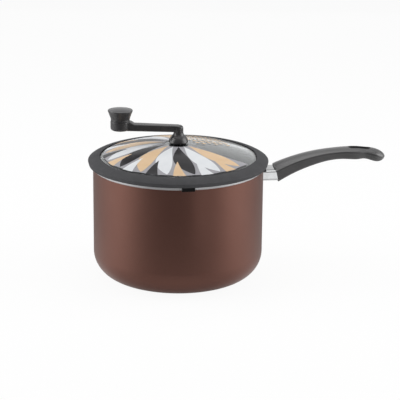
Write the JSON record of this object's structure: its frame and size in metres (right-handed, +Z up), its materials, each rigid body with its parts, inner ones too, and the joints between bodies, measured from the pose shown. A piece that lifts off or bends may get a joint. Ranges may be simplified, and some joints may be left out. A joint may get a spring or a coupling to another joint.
{
  "type": "stovetop popcorn popper",
  "caption": "Deep long-handled saucepan with a domed glass lid; a hand crank through the lid turns a wire stirrer over the floor.",
  "frame": {"origin": "on the pan's axis, at the underside of its base", "axes": "+Z up along the pan's and the crank shaft's axis, +X along the handle; the crank at rest points to 168.8 degrees from +X"},
  "size_m": [0.3601, 0.2158, 0.2037],
  "materials": {
    "brown_enamel": "satin brown enamel on pressed aluminium",
    "polished_steel": "polished stainless steel",
    "cast_aluminium": "as cast",
    "black_phenolic": "moulded phenolic, satin",
    "grey_silicone": "moulded silicone, matt",
    "tempered_glass": "tempered glass, clear",
    "printed_enamel": "ceramic ink fired on glass",
    "stainless_steel": "drawn and turned stainless steel",
    "brass": "turned brass",
    "black_acetal": "turned acetal"
  },
  "bodies": {
    "pan": {"pan_shell": "brown_enamel", "handle_bracket": "cast_aluminium", "bracket_rivets": "cast_aluminium", "flame_guard": "polished_steel", "handle_grip": "black_phenolic", "grip_screw": "stainless_steel", "screw_washer": "stainless_steel", "grip_insert": "brass"},
    "lid": {"lid_glass": "tempered_glass", "lid_rim": "grey_silicone", "shaft_bush": "black_acetal", "upper_seal": "grey_silicone", "lower_seal": "grey_silicone", "bush_nut": "black_acetal"},
    "crank": {"crank_arm": "black_phenolic", "crank_shaft": "stainless_steel", "thrust_washer": "stainless_steel", "retaining_clip": "stainless_steel", "stirrer_hub": "stainless_steel", "stirrer_wires": "stainless_steel", "hub_grub_screw": "stainless_steel", "knob_pin": "stainless_steel", "pin_nut": "stainless_steel", "knob_washer": "black_acetal"},
    "knob": {"crank_knob": "black_phenolic", "knob_cap": "black_phenolic"}
  },
  "joints": [
    {"name": "lid_lift", "type": "slide", "parent": "pan", "child": "lid", "axis": [0, 0, 1], "range_m": [0, 0.15]},
    {"name": "crank_turn", "type": "hinge", "parent": "lid", "child": "crank", "pos_m": [0, 0, 0.16], "axis": [0, 0, 1], "continuous": true},
    {"name": "knob_spin", "type": "hinge", "parent": "crank", "child": "knob", "pos_m": [-0.06827, 0.01352, 0.198], "axis": [0, 0, 1], "continuous": true}
  ]
}
